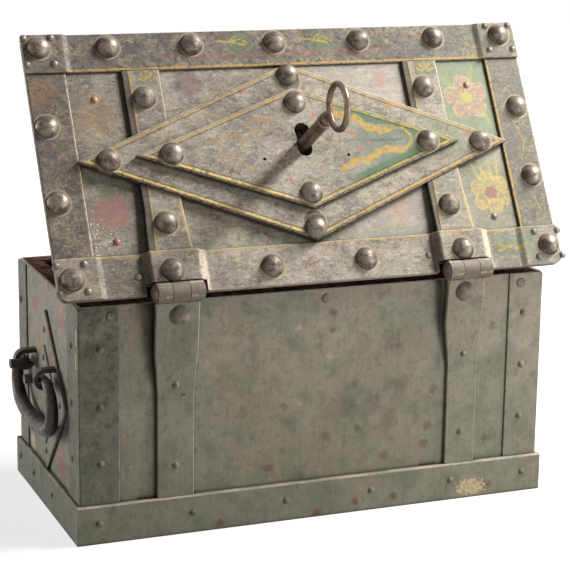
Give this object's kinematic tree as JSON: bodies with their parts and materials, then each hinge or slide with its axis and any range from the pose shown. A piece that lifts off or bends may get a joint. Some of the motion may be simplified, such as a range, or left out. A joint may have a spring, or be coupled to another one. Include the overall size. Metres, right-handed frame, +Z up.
{
  "type": "iron strongbox",
  "caption": "Riveted sheet-iron strongbox with a strapped hinged lid, a key-driven lock under the lid whose bolts catch all round the rim, and drop handles at the ends.",
  "frame": {"origin": "centre of the flat bottom face that the chest stands on", "axes": "+Z up; the front faces -Y and the hinges are at +Y; +X is the chest's right end seen from the front"},
  "size_m": [0.516, 0.2719, 0.444],
  "materials": {
    "painted_lid_iron": "worn grey-brown and green paint on sheet iron, with traces of flowers and ochre lines",
    "painted_box_iron": "worn olive-grey paint on sheet iron with rust showing through",
    "painted_end_iron": "worn grey paint with faded flowers on sheet iron",
    "polished_rivet_iron": "hand-worn, half-polished iron domes",
    "forged_iron": "dark brown-black forged iron",
    "lock_steel": "filed and oiled wrought iron",
    "key_steel": "brown, handled steel"
  },
  "bodies": {
    "box": {"back_wall": "painted_box_iron", "band_rivets": "painted_box_iron", "bottom_plate": "painted_box_iron", "corner_band_back_left": "painted_box_iron", "corner_band_back_right": "painted_box_iron", "corner_band_front_left": "painted_box_iron", "corner_band_front_right": "painted_box_iron", "end_boss_left": "painted_end_iron", "end_boss_right": "painted_end_iron", "end_lozenge_left": "painted_end_iron", "end_lozenge_right": "painted_end_iron", "end_lozenge_rivets": "painted_end_iron", "end_wall_left": "painted_end_iron", "end_wall_right": "painted_end_iron", "front_strap_left": "painted_box_iron", "front_strap_right": "painted_box_iron", "front_wall": "painted_box_iron", "handle_staples_left": "forged_iron", "handle_staples_right": "forged_iron", "hinge_pin_left": "forged_iron", "hinge_pin_right": "forged_iron", "hinge_strap_left": "painted_box_iron", "hinge_strap_right": "painted_box_iron", "plinth_back": "painted_box_iron", "plinth_front": "painted_box_iron", "plinth_left": "painted_box_iron", "plinth_right": "painted_box_iron", "plinth_rivets": "painted_box_iron", "rim_back": "painted_box_iron", "rim_front": "painted_box_iron", "rim_left": "painted_box_iron", "rim_right": "painted_box_iron", "rim_rivets": "painted_box_iron", "strap_rivets": "painted_box_iron"},
    "lid": {"lid_plate": "painted_lid_iron", "lid_border_front": "painted_lid_iron", "lid_border_back": "painted_lid_iron", "lid_border_left": "painted_lid_iron", "lid_border_right": "painted_lid_iron", "lid_strap_left": "painted_lid_iron", "lid_strap_right": "painted_lid_iron", "outer_lozenge": "painted_lid_iron", "inner_lozenge": "painted_lid_iron", "dome_rivets": "polished_rivet_iron", "lid_small_rivets": "polished_rivet_iron", "lock_plate": "lock_steel", "bolt_guides": "lock_steel", "lock_cover": "lock_steel", "cover_pillars": "lock_steel", "key_post": "lock_steel", "slide_springs": "lock_steel"},
    "key": {"key": "key_steel", "lock_rotor": "lock_steel"},
    "slide_right": {"bolt_slide_right": "lock_steel"},
    "slide_left": {"bolt_slide_left": "lock_steel"},
    "slide_front": {"bolt_slide_front": "lock_steel"},
    "slide_back": {"bolt_slide_back": "lock_steel"},
    "bail_right": {"handle_bail_right": "forged_iron"},
    "bail_left": {"handle_bail_left": "forged_iron"}
  },
  "joints": [
    {"name": "lid_hinge", "type": "hinge", "parent": "box", "child": "lid", "pos_m": [0, 0.118, 0.229], "axis": [-1, 0, 0], "range_deg": [-60, 45]},
    {"name": "key_turn", "type": "hinge", "parent": "lid", "child": "key", "pos_m": [-0.0015, 0.05275, 0.34202], "axis": [0, -0.866, -0.5], "range_deg": [0, 90]},
    {"name": "slide_right_travel", "type": "slide", "parent": "lid", "child": "slide_right", "axis": [1, 0, 0], "range_m": [0, 0.014]},
    {"name": "slide_left_travel", "type": "slide", "parent": "lid", "child": "slide_left", "axis": [-1, 0, 0], "range_m": [0, 0.014]},
    {"name": "slide_front_travel", "type": "slide", "parent": "lid", "child": "slide_front", "axis": [0, -0.5, 0.866], "range_m": [0, 0.014]},
    {"name": "slide_back_travel", "type": "slide", "parent": "lid", "child": "slide_back", "axis": [0, 0.5, -0.866], "range_m": [0, 0.014]},
    {"name": "bail_right_lift", "type": "hinge", "parent": "box", "child": "bail_right", "pos_m": [0.242, -0.003, 0.1343], "axis": [0, -1, 0], "range_deg": [0, 90]},
    {"name": "bail_left_lift", "type": "hinge", "parent": "box", "child": "bail_left", "pos_m": [-0.242, -0.003, 0.1343], "axis": [0, 1, 0], "range_deg": [0, 90]}
  ],
  "couplings": [
    {"joint": "slide_right_travel", "follows": "key_turn", "m_per_rad": 0.0089127},
    {"joint": "slide_left_travel", "follows": "key_turn", "m_per_rad": 0.0089127},
    {"joint": "slide_front_travel", "follows": "key_turn", "m_per_rad": 0.0089127},
    {"joint": "slide_back_travel", "follows": "key_turn", "m_per_rad": 0.0089127}
  ]
}
